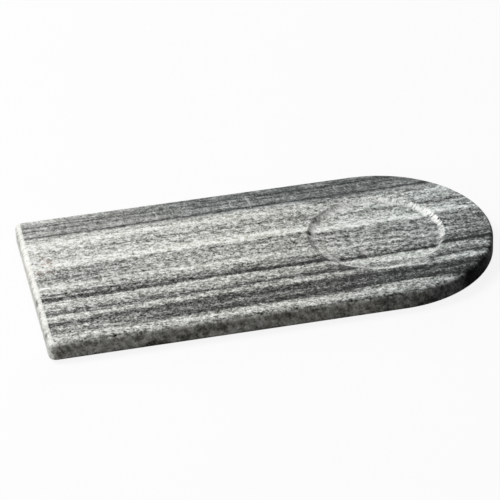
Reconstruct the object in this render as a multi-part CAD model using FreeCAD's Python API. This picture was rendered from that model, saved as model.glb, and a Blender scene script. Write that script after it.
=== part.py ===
"""Stone slab with one square end, one full-round end and a shallow round seat.

The slab is one piece of sawn and honed stone. Its top edge is rounded over, its bottom edge is
only eased, and the seat is a flat floor with a coved wall, on the centre of the round end. Four
low rubber feet, each on its own adhesive disc, keep it from sliding.

Frame: +X runs along the slab towards the round end, +Y across it, +Z up. The origin is on the
surface that the feet stand on, under the middle of the slab. All sizes are in millimetres.
"""

import FreeCAD
import Part
import math
import os

# Slab
SLAB_LENGTH = 300.0
SLAB_WIDTH = 150.0
SLAB_THICKNESS = 12.0
CORNER_RADIUS = 5.0  # the two corners of the square end, seen from above
TOP_ROUND = 3.0  # round-over along the top edge
BOTTOM_EASE = 0.8  # small chamfer along the bottom edge

# Round seat in the top face
SEAT_RADIUS = 44.0  # at the rim, in the plane of the top face
SEAT_DEPTH = 2.5
COVE_RADIUS = 7.0  # of the hollow wall, which runs tangent into the floor
RIM_EASE = 0.3  # takes the sharp edge off the rim

# Feet
FOOT_RADIUS = 6.0  # where the foot is widest, against its adhesive disc
FOOT_HEIGHT = 2.0
FOOT_TAPER = 8.0  # degrees that the side leans in towards the contact face
FOOT_EDGE_ROUND = 0.7
ADHESIVE_THICKNESS = 0.2
ADHESIVE_MARGIN = 0.3  # bare rubber around the adhesive disc
FOOT_INSET = 14.0  # from the slab's outline to a foot's axis
ROUND_END_FOOT_ANGLE = 50.0  # degrees from +X, about the centre of the round end

# Worked out from the sizes above
HALF_WIDTH = SLAB_WIDTH / 2
SQUARE_END_X = -SLAB_LENGTH / 2
ROUND_CENTRE_X = SLAB_LENGTH / 2 - HALF_WIDTH
ADHESIVE_BOTTOM_Z = FOOT_HEIGHT
SLAB_BOTTOM_Z = ADHESIVE_BOTTOM_Z + ADHESIVE_THICKNESS
SLAB_TOP_Z = SLAB_BOTTOM_Z + SLAB_THICKNESS

UP = FreeCAD.Vector(0, 0, 1)
EDGE_TOLERANCE = 1e-6


def slab_outline(z):
    """The slab seen from above: a square end with rounded corners, and a half circle."""
    tangent_x = SQUARE_END_X + CORNER_RADIUS
    tangent_y = HALF_WIDTH - CORNER_RADIUS
    diagonal = CORNER_RADIUS * math.sqrt(0.5)

    def point(x, y):
        return FreeCAD.Vector(x, y, z)

    return Part.Wire(
        [
            Part.makeLine(point(tangent_x, -HALF_WIDTH), point(ROUND_CENTRE_X, -HALF_WIDTH)),
            Part.Arc(
                point(ROUND_CENTRE_X, -HALF_WIDTH),
                point(ROUND_CENTRE_X + HALF_WIDTH, 0),
                point(ROUND_CENTRE_X, HALF_WIDTH),
            ).toShape(),
            Part.makeLine(point(ROUND_CENTRE_X, HALF_WIDTH), point(tangent_x, HALF_WIDTH)),
            Part.Arc(
                point(tangent_x, HALF_WIDTH),
                point(tangent_x - diagonal, tangent_y + diagonal),
                point(SQUARE_END_X, tangent_y),
            ).toShape(),
            Part.makeLine(point(SQUARE_END_X, tangent_y), point(SQUARE_END_X, -tangent_y)),
            Part.Arc(
                point(SQUARE_END_X, -tangent_y),
                point(tangent_x - diagonal, -tangent_y - diagonal),
                point(tangent_x, -HALF_WIDTH),
            ).toShape(),
        ]
    )


def edges_at(shape, z):
    """The edges that lie wholly in the level plane at height z."""
    return [
        edge
        for edge in shape.Edges
        if abs(edge.BoundBox.ZMin - z) < EDGE_TOLERANCE
        and abs(edge.BoundBox.ZMax - z) < EDGE_TOLERANCE
    ]


def seat_cutter():
    """The seat's hollow as a solid of revolution: flat floor, tangent cove, open above the rim."""
    floor_z = SLAB_TOP_Z - SEAT_DEPTH
    cove_run = math.sqrt(2 * COVE_RADIUS * SEAT_DEPTH - SEAT_DEPTH**2)
    floor_radius = SEAT_RADIUS - cove_run
    half_angle = math.asin(cove_run / COVE_RADIUS) / 2
    clear_z = SLAB_TOP_Z + SEAT_DEPTH

    def point(radius, z):
        return FreeCAD.Vector(ROUND_CENTRE_X + radius, 0, z)

    cove_middle = point(
        floor_radius + COVE_RADIUS * math.sin(half_angle),
        floor_z + COVE_RADIUS * (1 - math.cos(half_angle)),
    )
    profile = Part.Wire(
        [
            Part.makeLine(point(0, floor_z), point(floor_radius, floor_z)),
            Part.Arc(
                point(floor_radius, floor_z), cove_middle, point(SEAT_RADIUS, SLAB_TOP_Z)
            ).toShape(),
            Part.makeLine(point(SEAT_RADIUS, SLAB_TOP_Z), point(SEAT_RADIUS, clear_z)),
            Part.makeLine(point(SEAT_RADIUS, clear_z), point(0, clear_z)),
            Part.makeLine(point(0, clear_z), point(0, floor_z)),
        ]
    )
    return Part.Face(profile).revolve(point(0, 0), UP, 360)


def stone_slab():
    """The slab: extruded outline, rounded top edge, eased bottom edge and the seat cut in."""
    slab = Part.Face(slab_outline(SLAB_BOTTOM_Z)).extrude(UP * SLAB_THICKNESS)
    slab = slab.makeFillet(TOP_ROUND, edges_at(slab, SLAB_TOP_Z))
    slab = slab.makeChamfer(BOTTOM_EASE, edges_at(slab, SLAB_BOTTOM_Z))
    slab = slab.cut(seat_cutter())
    rim = [
        edge
        for edge in edges_at(slab, SLAB_TOP_Z)
        if isinstance(edge.Curve, Part.Circle)
        and abs(edge.Curve.Radius - SEAT_RADIUS) < EDGE_TOLERANCE
    ]
    return slab.makeFillet(RIM_EASE, rim)


def foot_places():
    """Each foot's place by name: two in the square corners and two on the round end."""
    side_y = HALF_WIDTH - FOOT_INSET
    round_angle = math.radians(ROUND_END_FOOT_ANGLE)
    round_x = ROUND_CENTRE_X + side_y * math.cos(round_angle)
    round_y = side_y * math.sin(round_angle)
    return {
        "square_end_front": (SQUARE_END_X + FOOT_INSET, -side_y),
        "square_end_back": (SQUARE_END_X + FOOT_INSET, side_y),
        "round_end_front": (round_x, -round_y),
        "round_end_back": (round_x, round_y),
    }


def foot(x, y):
    """A low tapered rubber foot with a rounded edge around its contact face."""
    contact_radius = FOOT_RADIUS - FOOT_HEIGHT * math.tan(math.radians(FOOT_TAPER))
    cone = Part.makeCone(contact_radius, FOOT_RADIUS, FOOT_HEIGHT, FreeCAD.Vector(x, y, 0), UP)
    return cone.makeFillet(FOOT_EDGE_ROUND, edges_at(cone, 0))


def adhesive_disc(x, y):
    """The thin double-sided disc between a foot and the underside of the slab."""
    return Part.makeCylinder(
        FOOT_RADIUS - ADHESIVE_MARGIN,
        ADHESIVE_THICKNESS,
        FreeCAD.Vector(x, y, ADHESIVE_BOTTOM_Z),
        UP,
    )


def main():
    nodes = {"stone_slab": stone_slab()}
    for place, (x, y) in foot_places().items():
        nodes["foot_" + place] = foot(x, y)
        nodes["adhesive_" + place] = adhesive_disc(x, y)
    os.makedirs("parts", exist_ok=True)
    for name, shape in nodes.items():
        shape.exportStep(os.path.join("parts", name + ".step"))


main()
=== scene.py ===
"""Banded gneiss slab with a coved round seat, on four stick-on rubber feet.

Laid out as a Blender add-on and run as a script. The meshes, the stone and the studio are built
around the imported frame, in metres: +X towards the slab's round end, +Y across it, +Z up.
"""

import math

import bmesh
import bpy
from bpy.props import FloatProperty, FloatVectorProperty, PointerProperty
from mathutils import Matrix, Vector, noise


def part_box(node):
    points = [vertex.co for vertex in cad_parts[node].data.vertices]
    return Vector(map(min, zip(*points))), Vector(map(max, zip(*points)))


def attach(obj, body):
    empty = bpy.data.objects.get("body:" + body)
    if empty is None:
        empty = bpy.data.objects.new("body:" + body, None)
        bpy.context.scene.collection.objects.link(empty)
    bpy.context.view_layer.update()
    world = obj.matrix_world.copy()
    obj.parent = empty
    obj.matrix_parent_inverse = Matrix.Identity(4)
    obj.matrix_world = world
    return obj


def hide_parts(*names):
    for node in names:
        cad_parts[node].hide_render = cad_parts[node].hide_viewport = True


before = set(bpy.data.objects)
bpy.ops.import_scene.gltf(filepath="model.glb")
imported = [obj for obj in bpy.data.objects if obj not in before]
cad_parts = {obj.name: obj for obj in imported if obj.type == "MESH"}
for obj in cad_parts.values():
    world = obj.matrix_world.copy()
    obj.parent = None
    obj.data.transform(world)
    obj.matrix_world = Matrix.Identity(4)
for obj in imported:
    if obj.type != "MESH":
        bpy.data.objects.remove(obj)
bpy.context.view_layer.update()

bl_info = {
    "name": "Banded Stone Slab",
    "version": (1, 0, 0),
    "blender": (4, 5, 0),
    "location": "3D View > Sidebar > Stone Slab",
    "description": "Builds a banded stone slab with a round seat and its stick-on feet",
    "category": "Add Mesh",
}

MM = 0.001
SLAB_LOW, SLAB_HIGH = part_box("stone_slab")
ROUND_CENTRE_X = SLAB_HIGH[0] - (SLAB_HIGH[1] - SLAB_LOW[1]) / 2
PLACES = ("square_end_front", "square_end_back", "round_end_front", "round_end_back")

# Half of the slab's length, in millimetres, over which the stone's slow changes are spread.
HALF_LENGTH = 150
# Steps in a full turn of the small round pieces.
TURN_STEPS = 64


def rgb(hex_colour):
    """An sRGB hex colour as linear red, green and blue."""
    channels = [int(hex_colour[i : i + 2], 16) / 255 for i in (1, 3, 5)]
    return [c / 12.92 if c <= 0.04045 else ((c + 0.055) / 1.055) ** 2.4 for c in channels]


# ---------------------------------------------------------------------------------------------
# Settings


def length(name, description, default):
    """A length property, in metres."""
    return FloatProperty(
        name=name, description=description, default=default, min=0.0, unit="LENGTH", precision=5
    )


def angle(name, description, degrees):
    """An angle property, given in degrees."""
    return FloatProperty(
        name=name, description=description, default=math.radians(degrees), subtype="ANGLE"
    )


def level(name, description, default):
    """A plain number that isn't negative."""
    return FloatProperty(name=name, description=description, default=default, min=0.0)


def colour(name, description, hex_colour):
    """A colour property, given as sRGB hex."""
    return FloatVectorProperty(
        name=name, description=description, default=rgb(hex_colour), min=0, max=1, subtype="COLOR"
    )


class SlabSettings(bpy.types.PropertyGroup):
    """Sizes of the stone slab that its box doesn't give."""

    corner_radius: length("Corner radius", "Corners of the square end, from above", 5 * MM)
    top_round: length("Top round-over", "Radius along the top edge", 3 * MM)
    bottom_ease: length("Bottom ease", "Chamfer along the bottom edge", 0.8 * MM)
    seat_radius: length("Seat radius", "Radius of the round seat at its rim", 44 * MM)
    seat_depth: length("Seat depth", "Depth of the seat's floor", 2.5 * MM)
    cove_radius: length("Cove radius", "Radius of the seat's hollow wall", 7 * MM)
    rim_ease: length("Rim ease", "Rounding of the seat's rim", 0.3 * MM)
    cell: length("Cell", "Spacing of the mesh that carries the relief", 1 * MM)
    relief: length("Relief", "Depth of the hollows between the grains", 0.12 * MM)
    chips: length("Chips", "Depth of the small chips along the sharper edges", 0.4 * MM)
    chatter: length("Chatter", "Depth of the cutter's marks in the seat's wall", 0.09 * MM)


class StoneSettings(bpy.types.PropertyGroup):
    """Colours of the gneiss, from its palest mineral to its darkest."""

    quartz: colour("Quartz", "Palest bands", "#e5e5e5")
    feldspar: colour("Feldspar", "Pale bands", "#c2c2c2")
    gneiss: colour("Grey gneiss", "Middle tone", "#a7a7a7")
    mica: colour("Mica gneiss", "Dark bands", "#878888")
    biotite: colour("Biotite", "Darker bands", "#606161")
    seam: colour("Seam", "Darkest seams", "#494a4a")
    warm: colour("Warm tint", "Tint of the rock at the square end", "#fefff9")
    cool: colour("Cool tint", "Tint of the rock at the round end", "#fbfffd")
    edge: colour("Ground edge", "Ground long edges, a little brown from the water", "#a8a7a1")
    blush: colour("Blush", "Faint pink of the potassium feldspar", "#d0a8a2")
    # The last three colours are painted light: the strong light on the square end, on its upper
    # and lower arris, and on the seat's wall, chiefly where it faces the lamps.
    painted_end_colour: colour("Bruised stone", "Crushed grains on the sawn square end", "#e2e2dc")
    arris: colour("Arris", "Crushed grains along the square end's edges", "#ebebe5")
    cut: colour("Cut stone", "Crushed grains on the seat's wall", "#f8f8f5")


class FootSettings(bpy.types.PropertyGroup):
    """Sizes and colours of the stick-on feet and their adhesive."""

    edge_round: length("Edge round", "Rounding around the contact face", 0.7 * MM)
    taper: length("Taper", "How far the side leans in over the foot's height", 0.28 * MM)
    dimple_radius: length("Dimple radius", "Radius of the sink in the contact face", 2.6 * MM)
    dimple_depth: length("Dimple depth", "Depth of the sink in the contact face", 0.12 * MM)
    dimple_slope: length("Dimple slope", "Width of the slope round the sink", 0.4 * MM)
    film_bulge: length("Film bulge", "How far the adhesive's edge swells out", 0.06 * MM)
    rubber: colour("Rubber", "Milky moulded rubber", "#a9aeac")
    film: colour("Film", "Adhesive film", "#d8d3c2")


class StageSettings(bpy.types.PropertyGroup):
    """Floor, lamps and camera."""

    floor_reach: length("Floor reach", "From the middle of the floor to its sides", 4.0)
    floor_white: colour("Floor", "Floor as the camera sees it", "#fdfdfd")
    floor_bounce: colour("Floor bounce", "Floor as the object's faces are lit by it", "#4a4a4a")
    floor_glow: level("Floor glow", "Share of the floor that the camera sees unshaded", 0.9)
    room_level: level("Room level", "Light of the room from every side", 0.035)
    key_level: level("Key level", "Light of the key lamp on a white face turned to it", 0.855)
    key_azimuth: angle("Key azimuth", "From the square end's side towards the front", -14)
    key_elevation: angle("Key elevation", "Height of the key lamp above the floor", 55)
    fill_level: level("Fill level", "Light of the fill lamp on a white face turned to it", 0.35)
    fill_azimuth: angle("Fill azimuth", "From the square end's side towards the front", 30)
    fill_elevation: angle("Fill elevation", "Height of the fill lamp above the floor", 20)
    back_level: level("Back level", "Light of the back lamp on a white face turned to it", 0.35)
    back_azimuth: angle("Back azimuth", "From the square end's side towards the front", -110)
    back_elevation: angle("Back elevation", "Height of the back lamp above the floor", 20)
    lamp_distance: length("Lamp distance", "From the slab to each lamp", 2.0)
    lamp_size: length("Lamp size", "Side of each square lamp", 0.8)
    camera_azimuth: angle("Camera azimuth", "From the front towards the round end", -11.0)
    camera_elevation: angle("Camera elevation", "Height of the camera above the floor", 31.6)
    camera_roll: angle("Camera roll", "Turn of the camera about its line of sight", -2.3)
    camera_distance: length("Camera distance", "From the camera to its target", 1.788)
    camera_lens: level("Camera lens", "Focal length in millimetres", 198.9)
    camera_target: FloatVectorProperty(
        name="Camera target",
        description="Point that the camera looks at",
        default=(-4.5 * MM, 19.65 * MM, 2.2 * MM),
        unit="LENGTH",
        precision=5,
    )


# ---------------------------------------------------------------------------------------------
# Mesh helpers


def sweep(bm, geom, steps, turn=0.0, centre=(0, 0, 0), axis=(0, 0, 1), shift=(0, 0, 0)):
    """Carries a vertex or a chain through equal steps, skins its path, returns the last copy."""
    return bmesh.ops.spin(
        bm,
        geom=geom,
        cent=centre,
        axis=axis,
        dvec=[part / steps for part in shift],
        angle=turn,
        steps=steps,
        use_merge=False,
        use_duplicate=False,
    )["geom_last"]


def cells(distance, cell):
    """How many cells of about this size fit a distance."""
    return max(1, round(distance / cell))


def middle_of(edge):
    """The middle of an edge."""
    return (edge.verts[0].co + edge.verts[1].co) / 2


def from_seat_axis(point):
    """Distance of a point from the seat's upright axis."""
    return math.hypot(point.x - ROUND_CENTRE_X, point.y)


def add_block(bm, block):
    """Moves a finished block into the piece's mesh."""
    mesh = bpy.data.meshes.new("block")
    block.to_mesh(mesh)
    block.free()
    bm.from_mesh(mesh)
    bpy.data.meshes.remove(mesh)


def close_up(bm):
    """Merges the blocks' seams and turns every face outwards."""
    bmesh.ops.remove_doubles(bm, verts=bm.verts, dist=0.001 * MM)
    bmesh.ops.recalc_face_normals(bm, faces=bm.faces)


def make_piece(bm, name, material, slot, *nodes):
    """The named piece that stands for these CAD nodes."""
    mesh = bpy.data.meshes.new(name)
    bm.to_mesh(mesh)
    bm.free()
    mesh.materials.append(material)
    piece = bpy.data.objects.new(name, mesh)
    bpy.context.scene.collection.objects.link(piece)
    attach(piece, "root")
    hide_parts(*nodes)
    return piece


# ---------------------------------------------------------------------------------------------
# Slab mesh


def edge_block(sizes):
    """The slab's edge: its profile drawn once, then carried round the whole outline."""
    top, bottom = SLAB_HIGH[2], SLAB_LOW[2]
    border = sizes.corner_radius
    inner_y = SLAB_HIGH[1] - border
    flat = border - sizes.top_round
    wall = top - bottom - sizes.top_round - sizes.bottom_ease

    bm = bmesh.new()
    tip = bmesh.ops.create_vert(bm, co=(ROUND_CENTRE_X, -inner_y, top))["vert"]
    tip = sweep(bm, tip, cells(flat, sizes.cell), shift=(0, -flat, 0))
    round_centre = (ROUND_CENTRE_X, -inner_y - flat, top - sizes.top_round)
    tip = sweep(bm, tip, 8, math.pi / 2, round_centre, (1, 0, 0))
    tip = sweep(bm, tip, cells(wall, sizes.cell), shift=(0, 0, -wall))
    tip = sweep(bm, tip, 2, shift=(0, sizes.bottom_ease, -sizes.bottom_ease))
    sweep(bm, tip, 2, shift=(0, border - sizes.bottom_ease, 0))

    square_x = SLAB_LOW[0] + border
    straight = ROUND_CENTRE_X - square_x
    along, across = cells(straight, sizes.cell), cells(2 * inner_y, sizes.cell)
    corner = cells(border * math.pi / 2, sizes.cell)
    arc = cells(SLAB_HIGH[1] * math.pi, sizes.cell)
    quarter = -math.pi / 2
    chain = sweep(bm, bm.verts[:] + bm.edges[:], along, shift=(-straight, 0, 0))
    chain = sweep(bm, chain, corner, quarter, (square_x, -inner_y, 0))
    chain = sweep(bm, chain, across, shift=(0, 2 * inner_y, 0))
    chain = sweep(bm, chain, corner, quarter, (square_x, inner_y, 0))
    chain = sweep(bm, chain, along, shift=(straight, 0, 0))
    sweep(bm, chain, arc, 2 * quarter, (ROUND_CENTRE_X, 0, 0))
    return bm


def seat_block(sizes, outer_radius, steps, turn):
    """Half of the seat with the top face around it, turned about the seat's axis."""
    top = SLAB_HIGH[2]
    floor = top - sizes.seat_depth
    cove_run = math.sqrt(2 * sizes.cove_radius * sizes.seat_depth - sizes.seat_depth**2)
    floor_radius = sizes.seat_radius - cove_run
    cove_centre = (ROUND_CENTRE_X, floor_radius, floor + sizes.cove_radius)
    flat = outer_radius - sizes.seat_radius

    bm = bmesh.new()
    tip = bmesh.ops.create_vert(bm, co=(ROUND_CENTRE_X, 0, floor))["vert"]
    tip = sweep(bm, tip, cells(floor_radius, 1.3 * sizes.cell), shift=(0, floor_radius, 0))
    tip = sweep(bm, tip, 10, math.asin(cove_run / sizes.cove_radius), cove_centre, (1, 0, 0))
    sweep(bm, tip, cells(flat, sizes.cell), shift=(0, flat, 0))
    sweep(bm, bm.verts[:] + bm.edges[:], steps, turn, (ROUND_CENTRE_X, 0, 0))
    return bm


def open_edges(bm, low_x, inner_y, cell):
    """The open edges of the flat top within its outer border, which lie round its window."""
    return [
        edge
        for edge in bm.edges
        if edge.is_boundary
        and abs(middle_of(edge).y) < inner_y - cell / 2
        and low_x + cell / 2 < middle_of(edge).x < ROUND_CENTRE_X - cell / 10
    ]


def field_block(sizes):
    """The flat top of the straight part, bridged to the seat's half that lies in it."""
    cell = sizes.cell
    inner_y = SLAB_HIGH[1] - sizes.corner_radius
    low_x = SLAB_LOW[0] + sizes.corner_radius
    size_x, size_y = ROUND_CENTRE_X - low_x, 2 * inner_y
    middle = Vector((low_x + size_x / 2, 0, SLAB_HIGH[2]))
    bm = bmesh.new()
    bmesh.ops.create_grid(
        bm,
        x_segments=cells(size_x, cell),
        y_segments=cells(size_y, cell),
        size=0.5,
        matrix=Matrix.Translation(middle) @ Matrix.Diagonal((size_x, size_y, 1, 1)),
    )
    window = inner_y - cell
    in_window = [
        face
        for face in bm.faces
        if face.calc_center_median().x > ROUND_CENTRE_X - window - cell
        and abs(face.calc_center_median().y) < window
    ]
    bmesh.ops.delete(bm, geom=in_window, context="FACES")
    steps = len(open_edges(bm, low_x, inner_y, cell))
    collar = sizes.seat_radius + 2 * cell
    add_block(bm, seat_block(sizes, collar, steps, math.pi))
    loops = open_edges(bm, low_x, inner_y, cell)
    spokes = bmesh.ops.bridge_loops(bm, edges=loops)["edges"]
    cuts = cells(window - collar, cell) - 1
    bmesh.ops.subdivide_edges(bm, edges=spokes, cuts=cuts, use_grid_fill=True)
    return bm


def slab_mesh(sizes):
    """The whole slab as one closed mesh, before its relief."""
    bm = edge_block(sizes)
    add_block(bm, field_block(sizes))
    inner_radius = SLAB_HIGH[1] - sizes.corner_radius
    arc = cells(SLAB_HIGH[1] * math.pi, sizes.cell)
    add_block(bm, seat_block(sizes, inner_radius, arc, -math.pi))
    close_up(bm)
    underside = [edge for edge in bm.edges if edge.is_boundary]
    bmesh.ops.holes_fill(bm, edges=underside, sides=0)
    bmesh.ops.recalc_face_normals(bm, faces=bm.faces)
    rim = [edge for edge in bm.edges if all(on_rim(vert.co, sizes) for vert in edge.verts)]
    bmesh.ops.bevel(
        bm,
        geom=rim,
        offset=sizes.rim_ease,
        segments=2,
        profile=0.5,
        affect="EDGES",
        material=-1,
    )
    return bm


def on_rim(point, sizes, tolerance=0.05 * MM):
    """Whether a point is this near the seat's rim."""
    sideways = abs(from_seat_axis(point) - sizes.seat_radius)
    return sideways < tolerance and SLAB_HIGH[2] - point.z < tolerance


# Sizes in the relief, in millimetres: the grains along, across and down, the swells of the ground
# face, and the flaws at which an edge chips.
GRAINS = (5.5, 2.8, 4.5)
SWELLS = 26
FLAWS = 4.2

# How many marks the cutter leaves in a full turn of the seat's wall.
CUTTER_MARKS = 52


def hollow(point, sizes):
    """How far the face lies below its ground surface at a point, between its harder grains."""
    grain = noise.noise(Vector([place / size for place, size in zip(point, GRAINS)]) / MM)
    swell = noise.noise(point / (SWELLS * MM))
    depth = sizes.relief * (0.5 + 0.4 * grain + 0.25 * swell)

    flaw = noise.noise(point / (FLAWS * MM) + Vector((7.3, 1.9, 4.1)))
    lower_edge = point.z - SLAB_LOW[2] < 1.1 * sizes.bottom_ease
    if lower_edge or on_rim(point, sizes, 0.8 * MM):
        depth += sizes.chips * max(0.0, flaw - 0.2) / 0.6
    return max(0.0, depth)


def chatter(point, sizes):
    """The cutter's marks in the seat's hollow wall: uneven flutes that run up to the rim."""
    below = SLAB_HIGH[2] - point.z
    on_wall = 0.2 * MM < below < sizes.seat_depth - 0.1 * MM
    if not on_wall or from_seat_axis(point) > sizes.seat_radius:
        return 0.0
    turned = math.atan2(point.y, point.x - ROUND_CENTRE_X)
    wander = noise.noise(Vector((3 * math.cos(turned), 3 * math.sin(turned), 0.5)))
    return sizes.chatter * (0.5 + 0.5 * math.sin(CUTTER_MARKS * (turned + 0.12 * wander)))


def weather(bm, sizes):
    """Sinks the ground faces by their relief. The underside stays flat for the feet."""
    bm.normal_update()
    moves = [
        (vert, vert.normal * (hollow(vert.co, sizes) + chatter(vert.co, sizes)))
        for vert in bm.verts
        if vert.co.z > SLAB_LOW[2] + 0.05 * MM
    ]
    for vert, move in moves:
        vert.co -= move
    for face in bm.faces:
        face.smooth = len(face.verts) < 5


# ---------------------------------------------------------------------------------------------
# Materials


def add(tree, kind, inputs=(), **settings):
    """Adds a shader node and sets it up. Its inputs come in order, or by name or number, and one
    that is a node or a socket is linked."""
    node = tree.nodes.new("ShaderNode" + kind)
    for name, value in settings.items():
        setattr(node, name, value)
    for key, value in (inputs if isinstance(inputs, dict) else dict(enumerate(inputs))).items():
        if isinstance(value, bpy.types.Node):
            value = next(socket for socket in value.outputs if socket.enabled)
        if isinstance(value, bpy.types.NodeSocket):
            tree.links.new(value, node.inputs[key])
        else:
            node.inputs[key].default_value = value
    return node


def new_material(name):
    """An empty node material and its tree."""
    material = bpy.data.materials.new(name)
    material.use_nodes = True
    material.node_tree.nodes.clear()
    return material, material.node_tree


# The slab's bands, from the middle of its width to its back edge and to its front edge: the
# distance in millimetres and the mineral that is commonest there. They run the whole length.
BACK_BANDS = (
    (0, "gneiss"),
    (3, "gneiss"),
    (5, "feldspar"),
    (7, "gneiss"),
    (9.8, "gneiss"),
    (11.6, "feldspar"),
    (13, "quartz"),
    (18, "quartz"),
    (20, "feldspar"),
    (25, "feldspar"),
    (28.5, "feldspar"),
    (30.5, "gneiss"),
    (32, "gneiss"),
    (34, "feldspar"),
    (38, "feldspar"),
    (42.5, "quartz"),
    (45.5, "feldspar"),
    (48.5, "feldspar"),
    (49.7, "gneiss"),
    (50.9, "mica"),
    (51.9, "seam"),
    (52.9, "mica"),
    (55, "gneiss"),
    (58, "gneiss"),
    (59.6, "mica"),
    (60.4, "biotite"),
    (61.2, "mica"),
    (62.8, "gneiss"),
    (63.6, "mica"),
    (64.8, "seam"),
    (66, "mica"),
    (71, "mica"),
)
FRONT_BANDS = (
    (0, "gneiss"),
    (3, "feldspar"),
    (6, "gneiss"),
    (8, "feldspar"),
    (10, "quartz"),
    (12, "feldspar"),
    (16.8, "gneiss"),
    (18.8, "mica"),
    (20, "mica"),
    (21.2, "gneiss"),
    (22.6, "biotite"),
    (24.3, "seam"),
    (25.5, "biotite"),
    (27, "feldspar"),
    (30.5, "feldspar"),
    (35, "gneiss"),
    (37.3, "mica"),
    (39.4, "biotite"),
    (41, "mica"),
    (43.5, "feldspar"),
    (46, "feldspar"),
    (48, "mica"),
    (50, "biotite"),
    (52.5, "biotite"),
    (56, "mica"),
    (60, "biotite"),
    (63.4, "biotite"),
    (65.8, "gneiss"),
    (67.4, "feldspar"),
    (70.5, "feldspar"),
    (72.7, "gneiss"),
    (75, "mica"),
)
# The distance in millimetres that a table of bands is laid over.
BAND_SPAN = 80.0


def band_ramp(tree, distance, bands, stone):
    """The colour at a distance in millimetres from the middle of the slab's width."""
    place = add(tree, "Math", (distance, BAND_SPAN), operation="DIVIDE")
    ramp = add(tree, "ValToRGB", (place,))
    stops = ramp.color_ramp.elements
    while len(stops) < len(bands):
        stops.new(1.0)
    for stop, (position, mineral) in zip(stops, bands):
        stop.position = position / BAND_SPAN
        stop.color = (*getattr(stone, mineral), 1)
    return ramp


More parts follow.
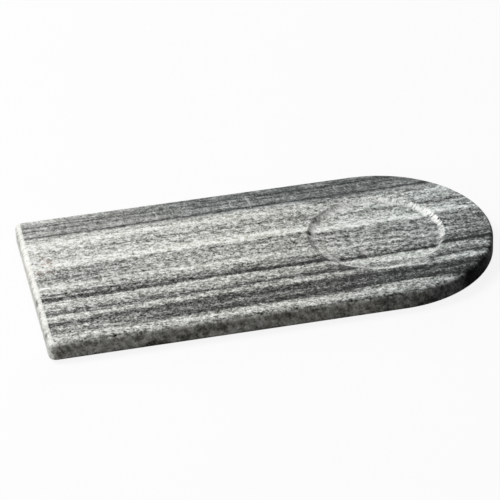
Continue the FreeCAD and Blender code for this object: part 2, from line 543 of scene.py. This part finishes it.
# Lenses of one mineral that lie in the bands, and single large eyes and knots of it: place along
# and across the slab, half length and half width in millimetres, mineral, and how much of the
# rock there is that mineral. Each is laid over the ones before it.
LENSES = (
    (-20, 60, 200, 12, "mica", 0.25),
    (75, 56.2, 28, 2.5, "mica", 0.5),
    (61, 43.7, 16, 2.6, "mica", 0.4),
    (-130, 39, 60, 4, "quartz", 0.5),
    (105, 45.8, 26, 5, "gneiss", 0.7),
    (68, 34.2, 30, 3, "quartz", 0.6),
    (95, 33.5, 24, 3, "quartz", 0.4),
    (123, 34, 22, 4.5, "quartz", 0.45),
    (58, 52, 26, 9, "biotite", 0.4),
    (-30, 52.3, 50, 1.8, "seam", 0.35),
    (38, 64, 46, 2, "seam", 0.45),
    (30, 43.5, 26, 3.5, "gneiss", 0.4),
    (-140, 31.5, 40, 3, "quartz", 0.45),
    (-90, 27, 60, 3, "gneiss", 0.25),
    (28, 24, 24, 5.5, "gneiss", 0.4),
    (-20, 30.5, 45, 2.6, "gneiss", 0.5),
    (124, 26.5, 26, 2.4, "biotite", 0.5),
    (50, 29.8, 18, 4, "quartz", 0.6),
    (38, 27.5, 9, 4.5, "mica", 0.5),
    (41, 26.2, 5, 3, "biotite", 0.35),
    (76, 22, 46, 4, "quartz", 0.6),
    (142, 18, 14, 4, "mica", 0.6),
    (-120, 16, 55, 6, "feldspar", 0.45),
    (-62, 6, 26, 4, "feldspar", 0.45),
    (55, 11, 20, 3, "quartz", 0.35),
    (-112, 1, 52, 11, "mica", 0.6),
    (-108, 5, 24, 3, "mica", 0.5),
    (-60, 2, 40, 6, "gneiss", 0.25),
    (-15, 1, 40, 3.5, "feldspar", 0.4),
    (146, -2, 26, 12, "mica", 0.45),
    (-122, -1, 26, 2.6, "biotite", 0.4),
    (92, -11.3, 42, 3, "mica", 0.5),
    (134, -10.8, 20, 2.6, "biotite", 0.35),
    (150, -15.5, 7, 4, "mica", 0.6),
    (142, -27.5, 8, 3.4, "biotite", 0.6),
    (22, -11, 16, 2.5, "gneiss", 0.4),
    (-90, -13, 42, 5, "mica", 0.35),
    (-50, -20.5, 50, 3, "mica", 0.35),
    (75, -20, 46, 4, "gneiss", 0.85),
    (68, -18, 34, 2.2, "feldspar", 0.5),
    (-106, -20, 48, 2.4, "biotite", 0.6),
    (-120, -25.8, 52, 1.8, "biotite", 0.6),
    (-15, -33.5, 36, 3, "feldspar", 0.5),
    (82, -29.7, 38, 5, "quartz", 0.75),
    (17, -37.6, 24, 1.8, "seam", 0.5),
    (84, -37.3, 30, 4.5, "feldspar", 0.65),
    (74, -40.8, 28, 1.8, "quartz", 0.7),
    (-107, -42, 18, 3, "mica", 0.6),
    (15, -41, 34, 2, "feldspar", 0.65),
    (129, -42.7, 18, 4.2, "quartz", 0.7),
    (52, -45, 20, 2, "mica", 0.4),
    # This seam on the round end's front is partly the rock and partly painted shade of that wall,
    # which the lamps hardly reach.
    (141, -46, 14, 13, "seam", 0.3),
    (-140, -49, 36, 2.2, "feldspar", 0.4),
    (5, -47.2, 80, 2.4, "biotite", 0.6),
    (-150, -61, 72, 7, "gneiss", 0.75),
    (-146.5, -59, 4.5, 9, "biotite", 0.8),
    (-150, -65.8, 60, 2.4, "feldspar", 0.7),
    (60, -69.5, 130, 4, "quartz", 0.3),
    (80, -64, 34, 2, "quartz", 0.55),
    (92, -70, 22, 3, "mica", 0.45),
    (40, -35, 12, 4, "biotite", 0.35),
    (-50, -73.5, 70, 2, "quartz", 0.3),
    (37, -6.6, 10, 5, "feldspar", 0.4),
    (34, 10.4, 40, 1.5, "biotite", 0.55),
    (60, -73.6, 40, 1.4, "quartz", 0.2),
    (46, -2.7, 12, 3, "feldspar", 0.6),
    (7, -58.8, 13, 2, "gneiss", 0.45),
    (-117, -70.1, 14, 2.2, "feldspar", 0.45),
    (-79, -10.8, 12, 2, "gneiss", 0.5),
    (51, -26, 10, 1.6, "feldspar", 0.45),
    (56, -43.9, 12, 1.8, "mica", 0.4),
    (-80, -66.6, 14, 2, "feldspar", 0.45),
    (-77, -46.8, 14, 2.4, "feldspar", 0.45),
    (-54, -26.4, 12, 1.8, "feldspar", 0.45),
    (-42, -37.3, 12, 2.2, "feldspar", 0.5),
    (50, -70.8, 12, 1.8, "mica", 0.45),
    (70, 69.5, 28, 2.5, "feldspar", 0.25),
    (-98, -69, 30, 3, "feldspar", 0.35),
    (-144, -69.5, 12, 5, "mica", 0.5),
    (-50, -22, 30, 1.8, "biotite", 0.5),
    (-128, -21.6, 18, 1.3, "gneiss", 0.6),
    (-128, -19, 18, 1.8, "biotite", 0.7),
    (-95, 15.3, 5, 2.6, "quartz", 0.85),
    (-72, 3.1, 5, 2, "quartz", 0.6),
    (30, 6.8, 4, 2.2, "quartz", 0.6),
    (-49, 23.7, 5, 2.8, "mica", 0.6),
    (-71, 28.6, 10, 1.8, "mica", 0.5),
    (-106, 2.2, 5, 2.8, "biotite", 0.5),
    (-8, 7.3, 9, 1.8, "mica", 0.45),
    (-150, -72, 70, 3, "mica", 0.3),
    (-150, 74, 110, 7, "quartz", 0.4),
)

# Hairline cracks healed with quartz, which cross the dark bands: place along the slab, and the
# stretch of its width that they run over, in millimetres.
VEINS = ((-58.5, 51, 67), (-9, 56, 66), (3.5, 50, 69), (62, 59, 67), (78, 59, 66))

# How the bands' borders wander: the size of each wander along, across and down, then how far it
# swings in the coarse rock and in the fine-grained band at the back, all in millimetres.
WANDERS = (
    ((170, 50, 60), 4.5, 4.5),
    ((30, 7, 18), 3, 1),
    ((3.4, 1.9, 3), 2.8, 0.7),
)

# Size of the flutes' pattern of painted light round the seat's wall, in millimetres.
FLUTE_SIZE = 1.5


def band_place(tree, place, along, across, coarse):
    """Where across the slab the bands have the mineral that is found here.

    The bands lean a little, more so in the front half. They wander slowly over the slab, and
    their borders fray into lenses and single grains, least in the fine-grained band at the back.
    """
    at_front = add(tree, "MapRange", (across, -15, 15, 1, 0))
    lean_front = add(tree, "MapRange", (along, -HALF_LENGTH, HALF_LENGTH, 1.4, -3.4))
    lean_back = add(tree, "MapRange", (along, -HALF_LENGTH, HALF_LENGTH, 0.1, -2.6))
    lean = add(tree, "Mix", {0: at_front, 2: lean_back, 3: lean_front}, data_type="FLOAT")
    across = add(tree, "Math", (across, lean), operation="ADD")
    for size, swing, least in WANDERS:
        spot = add(tree, "VectorMath", (place, size), operation="DIVIDE")
        wander = add(tree, "TexNoise", {"Vector": spot, "Scale": 1, "Detail": 2})
        centred = add(tree, "Math", (wander, 0.5), operation="SUBTRACT")
        reach = add(tree, "MapRange", (coarse, 0, 1, least, swing))
        across = add(tree, "Math", (centred, reach, across), operation="MULTIPLY_ADD")
    return across


def lens_reach(tree, frayed, x, y, half_length, half_width):
    """How far out in a lens a point lies: 0 in its middle and 1 at its border."""
    offset = add(tree, "VectorMath", (frayed, (x, y, 0)), operation="SUBTRACT")
    reach = add(tree, "VectorMath", (offset, (half_length, half_width, 1)), operation="DIVIDE")
    return add(tree, "VectorMath", (reach,), operation="LENGTH")


def banded_rock(tree, place, along, across, coarse, stone):
    """The rock's colour before its grains: bands, lenses, slow drift and some painted shade."""
    distance = add(tree, "Math", (across,), operation="ABSOLUTE")
    at_back = add(tree, "Math", (across, 0), operation="GREATER_THAN")
    bands = [band_ramp(tree, distance, table, stone) for table in (FRONT_BANDS, BACK_BANDS)]
    rock = add(tree, "Mix", {0: at_back, 6: bands[0], 7: bands[1]}, data_type="RGBA")
    frayed = add(tree, "CombineXYZ", (along, across))
    for *lens, mineral, share in LENSES:
        part = add(tree, "MapRange", (lens_reach(tree, frayed, *lens), 0.5, 1.1, share, 0))
        filling = (*getattr(stone, mineral), 1)
        rock = add(tree, "Mix", {0: part, 6: rock, 7: filling}, data_type="RGBA")

    # A faint pink of potassium feldspar, in patches near the square end.
    spot = add(tree, "VectorMath", (place, (7, 2.5, 5)), operation="DIVIDE")
    pink = add(tree, "TexNoise", {"Vector": spot, "Scale": 1, "Detail": 2})
    pink = add(tree, "MapRange", (pink, 0.52, 0.68, 0, 0.45))
    part = add(tree, "MapRange", (lens_reach(tree, frayed, -142, 17, 22, 15), 0.4, 1, pink, 0))
    rock = add(tree, "Mix", {0: part, 6: rock, 7: (*stone.blush, 1)}, data_type="RGBA")

    # The rock drifts from a warm grey at the square end to a cool one at the round end, sooner in
    # the fine-grained band.
    drift = add(tree, "Math", (coarse, -110, along), operation="MULTIPLY_ADD")
    drift = add(tree, "MapRange", (drift, -110, 10, 0, 1))
    warm, cool = (*stone.warm, 1), (*stone.cool, 1)
    tint = add(tree, "Mix", {0: drift, 6: warm, 7: cool}, data_type="RGBA")
    rock = add(tree, "Mix", {0: 1, 6: rock, 7: tint}, data_type="RGBA", blend_type="MULTIPLY")

    # The tones part more strongly towards the round end, where the dark bands are darker: partly
    # the rock, partly painted shade where the light falls off away from the square end.
    contrast = add(tree, "MapRange", (along, -HALF_LENGTH, HALF_LENGTH, 0.85, 1.55))
    return add(tree, "Gamma", (rock, contrast))


def edge_share(tree, along, across):
    """1 on the ground edge that runs round the slab's outline, and 0 on its top."""
    end = add(tree, "Math", (along, ROUND_CENTRE_X / MM), operation="SUBTRACT")
    end = add(tree, "Math", (end, 0), operation="MAXIMUM")
    outwards = add(tree, "CombineXYZ", (end, across))
    outwards = add(tree, "VectorMath", (outwards,), operation="LENGTH")
    half_width = SLAB_HIGH[1] / MM
    return add(tree, "MapRange", (outwards, half_width - 1.1, half_width - 0.4, 0, 1))


def edge_blots(tree, along, across, height):
    """Dark blots on the ground edges, where the bands are cut across. They lean with the folds."""
    slant = add(tree, "Math", (height, 0.5, along), operation="MULTIPLY_ADD")
    spot = add(tree, "CombineXYZ", (slant, across, height))
    spot = add(tree, "VectorMath", (spot, (4, 5, 8)), operation="DIVIDE")
    return add(tree, "TexNoise", {"Vector": spot, "Scale": 1, "Detail": 2})


def paint_square_end_light(tree, along, across, height, clusters, blots, stone):
    """How much of the rock takes painted light on the square end, and that light's colour.

    The pale face is painted light where the key lamp falls hardest, reaching furthest in at its
    front corner, and its upper and lower arris are palest as painted highlights. Between these
    some dark blots are spared.
    """
    ragged = add(tree, "Math", (clusters, 1.2, along), operation="MULTIPLY_ADD")
    limit = add(tree, "MapRange", (across, -74, -71, -143, -146))
    limit = add(tree, "MapRange", (height, 5, 12, -146.5, limit))
    inwards = add(tree, "Math", (ragged, limit), operation="SUBTRACT")
    lit_share = add(tree, "MapRange", (across, -75, 10, 0.75, 0.88))
    spared = add(tree, "MapRange", (height, 6.5, 8.5, 0, 0.5))
    spared = add(tree, "MapRange", (height, 13, 13.6, spared, 0))
    spared = add(tree, "MapRange", (blots, 0.44, 0.56, 0, spared))
    lit_share = add(tree, "Math", (lit_share, spared), operation="SUBTRACT")
    painted_end_share = add(tree, "MapRange", (inwards, -0.3, 0.3, lit_share, 0))
    at_arris = add(tree, "MapRange", (height, 13.4, 13.9, 0, 1))
    at_arris = add(tree, "MapRange", (height, 4, 6.5, 1, at_arris))
    painted_end_colour, arris = (*stone.painted_end_colour, 1), (*stone.arris, 1)
    painted_end_colour = add(tree, "Mix", {0: at_arris, 6: painted_end_colour, 7: arris}, data_type="RGBA")
    return painted_end_share, painted_end_colour


def with_veins(tree, rock, along, across, clusters, stone):
    """The rock with its healed cracks, each a wandering hairline that fades out at its ends."""
    wander = add(tree, "MapRange", (clusters, 0, 1, -2, 2))
    for x, low, high in VEINS:
        aside = add(tree, "Math", (along, x), operation="SUBTRACT")
        aside = add(tree, "Math", (aside, wander), operation="ADD")
        aside = add(tree, "Math", (aside,), operation="ABSOLUTE")
        away = add(tree, "Math", (across, (low + high) / 2), operation="SUBTRACT")
        away = add(tree, "Math", (away,), operation="ABSOLUTE")
        inside = add(tree, "MapRange", (away, (high - low) / 4, (high - low) / 2, 0.4, 0))
        part = add(tree, "MapRange", (aside, 0.25, 0.8, inside, 0))
        rock = add(tree, "Mix", {0: part, 6: rock, 7: (*stone.quartz, 1)}, data_type="RGBA")
    return rock


def with_painted_seat_light(tree, rock, place, height, clusters, sugar, sizes, stone):
    """The rock with painted light and shade in the seat's wall.

    Pale flutes on the side towards the round end paint the key lamp's light on the wall that
    faces it. Pale patches on the other sides paint light that lifts the wall's shade. A dark
    hairline along the rim on the side towards the square end is painted shade.
    """
    offset = add(tree, "VectorMath", (place, (ROUND_CENTRE_X / MM, 0, 0)), operation="SUBTRACT")
    offset = add(tree, "VectorMath", (offset, (1, 1, 0)), operation="MULTIPLY")
    reach = add(tree, "VectorMath", (offset,), operation="LENGTH")
    side = add(tree, "VectorMath", (offset,), operation="NORMALIZE")
    rim = sizes.seat_radius / MM
    spot = add(tree, "VectorMath", {0: side, "Scale": rim / FLUTE_SIZE}, operation="SCALE")
    strokes = add(tree, "TexNoise", {"Vector": spot, "Scale": 1, "Detail": 1})
    broken = add(tree, "Math", (sugar, clusters), operation="ADD")
    strokes = add(tree, "Math", (broken, 0.6, strokes), operation="MULTIPLY_ADD")
    flutes = add(tree, "MapRange", (strokes, 0.95, 1.2, 0, 1))
    flecks = add(tree, "MapRange", (strokes, 1.08, 1.2, 0, 1))
    patches = add(tree, "MapRange", (broken, 0.75, 1.2, 0, 1))
    specks = add(tree, "MapRange", (broken, 0.75, 1.1, 0.35, 1))

    # Each mark of painted light or shade: its side of the seat, how narrow it is there as the
    # least cosine, where it starts and ends from the seat's axis in millimetres, its strength, its
    # pattern and its colour.
    for towards, least, inner, outer, strength, pattern, shade in (
        ((0.96, 0.28, 0), 0.76, rim - 3.8, rim - 0.1, 1.45, flutes, stone.cut),
        ((0.42, 0.91, 0), 0.72, rim - 2.4, rim - 0.1, 1, flecks, stone.cut),
        ((0, -1, 0), 0.75, rim - 6, rim - 4, 1.2, specks, stone.cut),
        ((0.87, -0.5, 0), 0.8, rim - 3, rim - 1.2, 0.9, patches, stone.cut),
        ((-0.3, 0.95, 0), 0.65, rim - 5, rim - 0.3, 0.6, patches, stone.cut),
        ((-0.82, 0.57, 0), 0.75, rim - 6, rim - 2, 0.65, patches, stone.cut),
        ((-0.9, -0.43, 0), 0.7, rim - 7, rim - 3, 0.45, patches, stone.cut),
        # Painted shadow: a dark line along the rim towards the square end, where the wall lies in
        # shade.
        ((-0.97, 0.25, 0), 0.68, rim - 0.3, rim + 0.6, 0.95, 1, stone.seam),
    ):
        facing = add(tree, "VectorMath", (side, towards), operation="DOT_PRODUCT")
        facing = facing.outputs["Value"]
        share = add(tree, "MapRange", (facing, least, least + 0.35, 0, strength))
        share = add(tree, "Math", (share, pattern), operation="MULTIPLY")
        part = add(tree, "MapRange", (reach, inner - 0.5, inner + 1.2, 0, share))
        part = add(tree, "MapRange", (reach, outer, outer + 0.5, part, 0))
        part = add(tree, "MapRange", (height, 9, 10, 0, part))
        rock = add(tree, "Mix", {0: part, 6: rock, 7: (*shade, 1)}, data_type="RGBA")
    return rock


def stone_material(stone, sizes):
    """Gneiss, sawn, ground and honed matte: straight mineral bands on edge, frayed by grains."""
    material, tree = new_material("honed_banded_gneiss")
    metres = add(tree, "TexCoord").outputs["Object"]
    place = add(tree, "VectorMath", {0: metres, "Scale": 1 / MM}, operation="SCALE")
    along, across, height = add(tree, "SeparateXYZ", (place,)).outputs

    # All but the band at the back is coarse-grained.
    coarse = add(tree, "MapRange", (across, 46, 51, 1, 0))
    frayed_across = band_place(tree, place, along, across, coarse)
    rock = banded_rock(tree, place, along, frayed_across, coarse, stone)

    # Streaks a millimetre wide, clusters of grains, single grains of about two millimetres with
    # borders between them, then the sugar within.
    tones = []
    for size, detail in (((14, 1.4, 10), 2), ((3.8, 2.8, 3.6), 1), ((1.2, 1.1, 1.2), 2)):
        spot = add(tree, "VectorMath", (place, size), operation="DIVIDE")
        tones.append(add(tree, "TexNoise", {"Vector": spot, "Scale": 1, "Detail": detail}))
    streaks, clusters, sugar = tones
    spot = add(tree, "VectorMath", (place, (1.9, 1.7, 1.8)), operation="DIVIDE")
    grains = add(tree, "TexVoronoi", {"Vector": spot, "Scale": 1}).outputs["Color"]
    grains = add(tree, "SeparateColor", (grains,))

    # The long ground edges look evener than the top and are a little brown from the water. The
    # edge colour fades out towards the round end, whose wall keeps the darker rock as painted
    # shade.
    on_edge = edge_share(tree, along, across)
    long_edge = add(tree, "MapRange", (along, 50, 110, 0.85, 0))
    long_edge = add(tree, "Math", (long_edge, on_edge), operation="MULTIPLY")
    rock = add(tree, "Mix", {0: long_edge, 6: rock, 7: (*stone.edge, 1)}, data_type="RGBA")
    blots = edge_blots(tree, along, across, height)
    # Painted light: the square end and its arris are paled where the key lamp falls hardest.
    painted_end_share, painted_end_colour = paint_square_end_light(tree, along, across, height, clusters, blots, stone)
    rock = add(tree, "Mix", {0: painted_end_share, 6: rock, 7: painted_end_colour}, data_type="RGBA")

    # Soft light lays each of these on the rock, and keeps the extremes from burning out.
    grain_share = add(tree, "MapRange", (coarse, 0, 1, 0.65, 1))
    grain_share = add(tree, "Mix", {0: on_edge, 2: grain_share, 3: 0.6}, data_type="FLOAT")
    grain_share = add(tree, "Mix", {0: painted_end_share, 2: grain_share, 3: 0.35}, data_type="FLOAT")
    for tone, low, high, share in (
        (blots, -0.5, 1.5, on_edge),
        (streaks, -0.15, 1.15, 1),
        (clusters, -0.35, 1.35, grain_share),
        (grains, 0.1, 0.9, grain_share),
        (sugar, -1, 2, grain_share),
    ):
        tone = add(tree, "MapRange", (tone, 0, 1, low, high), clamp=False)
        rock = add(
            tree,
            "Mix",
            {0: share, 6: rock, 7: tone},
            data_type="RGBA",
            blend_type="SOFT_LIGHT",
            clamp_result=True,
        )

    rock = with_veins(tree, rock, along, across, clusters, stone)
    # Painted light and shade in the seat's wall.
    rock = with_painted_seat_light(tree, rock, place, height, clusters, sugar, sizes, stone)

    # The underside is left as sawn: duller, with the blade's marks every 3 mm.
    marks = add(
        tree,
        "TexWave",
        {"Vector": place, "Scale": 0.105, "Distortion": 1.5, "Detail": 2, "Detail Scale": 0.6},
        bands_direction="X",
    )
    underneath = add(tree, "MapRange", (height, 2.25, 2.5, 0.35, 0))
    sawn = add(tree, "MapRange", (marks, 0, 1, 0.24, 0.3))
    rock = add(tree, "Mix", {0: underneath, 6: rock, 7: sawn}, data_type="RGBA")

    # Honed stone is nearly matte, and its ground edges, which aren't honed, are matter still.
    rough = add(tree, "MapRange", (clusters, 0.3, 0.7, 0.56, 0.74))
    sheen = add(tree, "MapRange", (on_edge, 0, 1, 0.03, 0.008))
    relief = add(tree, "Math", (marks, underneath), operation="MULTIPLY")
    relief = add(tree, "Math", (relief, sugar), operation="ADD")
    bump = add(tree, "Bump", {"Height": relief, "Strength": 0.6, "Distance": 0.3 * MM})
    shader = add(
        tree,
        "BsdfPrincipled",
        {
            "Base Color": rock,
            "Roughness": rough,
            "IOR": 1.54,
            "Specular IOR Level": sheen,
            "Normal": bump,
        },
    )
    add(tree, "OutputMaterial", (shader,))
    return material


def rubber_material(feet):
    """Moulded polyurethane rubber: milky, soft satin, slightly see-through at its thin edge."""
    material, tree = new_material("milky_polyurethane_rubber")
    metres = add(tree, "TexCoord").outputs["Object"]
    haze = add(tree, "TexNoise", {"Vector": metres, "Scale": 0.6 / MM, "Detail": 2})
    pale, deep = (*feet.rubber, 1), (*[c * 0.85 for c in feet.rubber], 1)
    tint = add(tree, "Mix", {0: haze, 6: pale, 7: deep}, data_type="RGBA")
    matte = add(tree, "MapRange", (haze, 0, 1, 0.35, 0.6))
    skin = add(tree, "TexNoise", {"Vector": metres, "Scale": 4 / MM})
    bump = add(tree, "Bump", {"Height": skin, "Strength": 0.3, "Distance": 0.03 * MM})
    shader = add(
        tree,
        "BsdfPrincipled",
        {
            "Base Color": tint,
            "Roughness": matte,
            "IOR": 1.5,
            "Transmission Weight": 0.25,
            "Normal": bump,
        },
    )
    add(tree, "OutputMaterial", (shader,))
    return material


def film_material(feet):
    """Acrylic adhesive on a paper-thin foam carrier: off-white and matte, with fine pores."""
    material, tree = new_material("acrylic_adhesive_film")
    metres = add(tree, "TexCoord").outputs["Object"]
    pores = add(tree, "TexVoronoi", {"Vector": metres, "Scale": 3 / MM})
    pale, deep = (*feet.film, 1), (*[c * 0.75 for c in feet.film], 1)
    tint = add(tree, "Mix", {0: pores, 6: pale, 7: deep}, data_type="RGBA")
    bump = add(tree, "Bump", {"Height": pores, "Strength": 0.4, "Distance": 0.02 * MM})
    shader = add(
        tree,
        "BsdfPrincipled",
        {"Base Color": tint, "Roughness": 0.7, "IOR": 1.48, "Normal": bump},
    )
    add(tree, "OutputMaterial", (shader,))
    return material


def seen_rays(tree):
    """1 for what the camera sees, straight, mirrored or through glass, and 0 for other light."""
    rays = add(tree, "LightPath").outputs
    seen = add(tree, "Math", (rays["Is Camera Ray"], rays["Is Glossy Ray"]), operation="MAXIMUM")
    return add(tree, "Math", (seen, rays["Is Transmission Ray"]), operation="MAXIMUM")


def floor_material(stage):
    """Pale seamless paper that keeps a soft shadow and throws little light back up."""
    material, tree = new_material("pale_background_paper")
    white, bounce = (*stage.floor_white, 1), (*stage.floor_bounce, 1)
    lit = add(tree, "BsdfDiffuse", {"Color": white})
    glow = add(tree, "Emission", {"Color": white, "Strength": 1})
    seen = add(tree, "MixShader", (stage.floor_glow, lit, glow))
    below = add(tree, "BsdfDiffuse", {"Color": bounce})
    both = add(tree, "MixShader", (seen_rays(tree), below, seen))
    add(tree, "OutputMaterial", (both,))
    return material


# ---------------------------------------------------------------------------------------------
# Operators


class STONESLAB_OT_slab(bpy.types.Operator):
    """Add the slab: honed gneiss with a rounded top edge and a coved round seat"""

    bl_idname = "stone_slab.add_slab"
    bl_label = "Add Slab"
    bl_options = {"REGISTER", "UNDO"}

    def execute(self, context):
        sizes = context.scene.stone_slab_sizes
        bm = slab_mesh(sizes)
        weather(bm, sizes)
        material = stone_material(context.scene.stone_slab_stone, sizes)
        make_piece(bm, "honed_slab", material, "stone", "stone_slab")
        return {"FINISHED"}


class STONESLAB_OT_feet(bpy.types.Operator):
    """Add the four moulded rubber feet"""

    bl_idname = "stone_slab.add_feet"
    bl_label = "Add Feet"
    bl_options = {"REGISTER", "UNDO"}

    def execute(self, context):
        feet = context.scene.stone_slab_feet
        material = rubber_material(feet)
        for place in PLACES:
            low, high = (Vector(corner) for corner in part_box("foot_" + place))
            axis = (low + high) / 2
            radius, height = (high.x - low.x) / 2, high.z - low.z
            contact = radius - feet.taper - feet.edge_round
            side = height - feet.edge_round
            bm = bmesh.new()
            hub = Vector((axis.x, axis.y, feet.dimple_depth))
            tip = bmesh.ops.create_vert(bm, co=hub)["vert"]
            dimple = feet.dimple_radius
            tip = sweep(bm, tip, 4, shift=(dimple - feet.dimple_slope, 0, 0))
            tip = sweep(bm, tip, 2, shift=(feet.dimple_slope, 0, -feet.dimple_depth))
            tip = sweep(bm, tip, 4, shift=(contact - dimple, 0, 0))
            centre = (axis.x + contact, axis.y, feet.edge_round)
            tip = sweep(bm, tip, 6, -math.pi / 2, centre, (0, 1, 0))
            tip = sweep(bm, tip, 4, shift=(feet.taper, 0, side))
            sweep(bm, tip, 6, shift=(-radius, 0, 0))
            sweep(bm, bm.verts[:] + bm.edges[:], TURN_STEPS, 2 * math.pi, (axis.x, axis.y, 0))
            close_up(bm)
            for face in bm.faces:
                face.smooth = face.calc_center_median().z < high.z - 0.01 * MM
            make_piece(bm, "rubber_foot_" + place, material, "foot_rubber", "foot_" + place)
        return {"FINISHED"}


class STONESLAB_OT_adhesives(bpy.types.Operator):
    """Add the adhesive disc between each foot and the slab"""

    bl_idname = "stone_slab.add_adhesives"
    bl_label = "Add Adhesive Discs"
    bl_options = {"REGISTER", "UNDO"}

    def execute(self, context):
        feet = context.scene.stone_slab_feet
        material = film_material(feet)
        for place in PLACES:
            low, high = (Vector(corner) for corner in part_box("adhesive_" + place))
            axis = (low + high) / 2
            radius, height = (high.x - low.x) / 2, high.z - low.z
            bulge = feet.film_bulge
            bm = bmesh.new()
            tip = bmesh.ops.create_vert(bm, co=(axis.x, axis.y, low.z))["vert"]
            tip = sweep(bm, tip, 5, shift=(radius - bulge, 0, 0))
            tip = sweep(bm, tip, 2, shift=(bulge, 0, height / 2))
            tip = sweep(bm, tip, 2, shift=(-bulge, 0, height / 2))
            sweep(bm, tip, 5, shift=(bulge - radius, 0, 0))
            sweep(bm, bm.verts[:] + bm.edges[:], TURN_STEPS, 2 * math.pi, (axis.x, axis.y, 0))
            close_up(bm)
            make_piece(bm, "adhesive_disc_" + place, material, "adhesive", "adhesive_" + place)
        return {"FINISHED"}


class STONESLAB_OT_stage(bpy.types.Operator):
    """Add the pale floor, the lamps, the room's light and the camera"""

    bl_idname = "stone_slab.add_stage"
    bl_label = "Add Stage"
    bl_options = {"REGISTER", "UNDO"}

    def execute(self, context):
        scene = context.scene
        stage = scene.stone_slab_stage
        self.add_floor(scene, stage)
        for name in ("key", "fill", "back"):
            brightness, azimuth, elevation = (
                getattr(stage, name + part) for part in ("_level", "_azimuth", "_elevation")
            )
            self.add_lamp(scene, stage, name + "_softbox", brightness, azimuth, elevation)
        self.add_room(scene, stage)
        self.add_camera(scene, stage)
        scene.view_settings.view_transform = "Standard"
        return {"FINISHED"}

    def add_floor(self, scene, stage):
        bm = bmesh.new()
        bmesh.ops.create_grid(bm, x_segments=1, y_segments=1, size=stage.floor_reach)
        mesh = bpy.data.meshes.new("floor")
        bm.to_mesh(mesh)
        bm.free()
        mesh.materials.append(floor_material(stage))
        floor = bpy.data.objects.new("floor", mesh)
        scene.collection.objects.link(floor)

    def add_lamp(self, scene, stage, name, brightness, azimuth, elevation):
        flat = math.cos(elevation)
        towards = Vector(
            (-flat * math.cos(azimuth), -flat * math.sin(azimuth), math.sin(elevation))
        )
        light = bpy.data.lights.new(name, "AREA")
        light.size = stage.lamp_size
        light.energy = brightness * (math.pi * stage.lamp_distance) ** 2
        lamp = bpy.data.objects.new(name, light)
        lamp.matrix_world = (
            Matrix.Translation(towards * stage.lamp_distance)
            @ towards.to_track_quat("Z", "Y").to_matrix().to_4x4()
        )
        scene.collection.objects.link(lamp)

    def add_room(self, scene, stage):
        world = bpy.data.worlds.new("studio_room")
        world.use_nodes = True
        tree = world.node_tree
        tree.nodes.clear()
        white = (*stage.floor_white, 1)
        room = add(tree, "Background", {"Strength": stage.room_level, "Color": (1, 1, 1, 1)})
        wall = add(tree, "Background", {"Strength": 1, "Color": white})
        both = add(tree, "MixShader", (seen_rays(tree), room, wall))
        add(tree, "OutputWorld", (both,))
        scene.world = world

    def add_camera(self, scene, stage):
        azimuth, elevation = stage.camera_azimuth, stage.camera_elevation
        flat = math.cos(elevation)
        back = Vector(
            (flat * math.sin(azimuth), -flat * math.cos(azimuth), math.sin(elevation))
        )
        right = Vector((math.cos(azimuth), math.sin(azimuth), 0))
        turned = Matrix((right, back.cross(right), back)).transposed().to_4x4()
        camera = bpy.data.cameras.new("camera")
        camera.lens = stage.camera_lens
        seat = bpy.data.objects.new("camera", camera)
        seat.matrix_world = (
            Matrix.Translation(Vector(stage.camera_target) + back * stage.camera_distance)
            @ turned
            @ Matrix.Rotation(stage.camera_roll, 4, "Z")
        )
        scene.collection.objects.link(seat)
        scene.camera = seat


class STONESLAB_PT_panel(bpy.types.Panel):
    """Lists the slab's pieces in the sidebar"""

    bl_idname = "STONESLAB_PT_panel"
    bl_label = "Stone Slab"
    bl_space_type = "VIEW_3D"
    bl_region_type = "UI"
    bl_category = "Stone Slab"

    def draw(self, context):
        for operator in OPERATORS:
            self.layout.operator(operator.bl_idname)
        for group in ("sizes", "stone", "feet", "stage"):
            settings = getattr(context.scene, "stone_slab_" + group)
            box = self.layout.box()
            for name in settings.__annotations__:
                box.prop(settings, name)


SETTINGS = {
    "stone_slab_sizes": SlabSettings,
    "stone_slab_stone": StoneSettings,
    "stone_slab_feet": FootSettings,
    "stone_slab_stage": StageSettings,
}
OPERATORS = (STONESLAB_OT_slab, STONESLAB_OT_feet, STONESLAB_OT_adhesives, STONESLAB_OT_stage)
CLASSES = (*SETTINGS.values(), *OPERATORS, STONESLAB_PT_panel)


def register():
    for cls in CLASSES:
        bpy.utils.register_class(cls)
    for name, group in SETTINGS.items():
        setattr(bpy.types.Scene, name, PointerProperty(type=group))


def unregister():
    for name in SETTINGS:
        delattr(bpy.types.Scene, name)
    for cls in reversed(CLASSES):
        bpy.utils.unregister_class(cls)


def main():
    register()
    bpy.ops.stone_slab.add_slab()
    bpy.ops.stone_slab.add_feet()
    bpy.ops.stone_slab.add_adhesives()
    bpy.ops.stone_slab.add_stage()


if __name__ == "__main__":
    main()
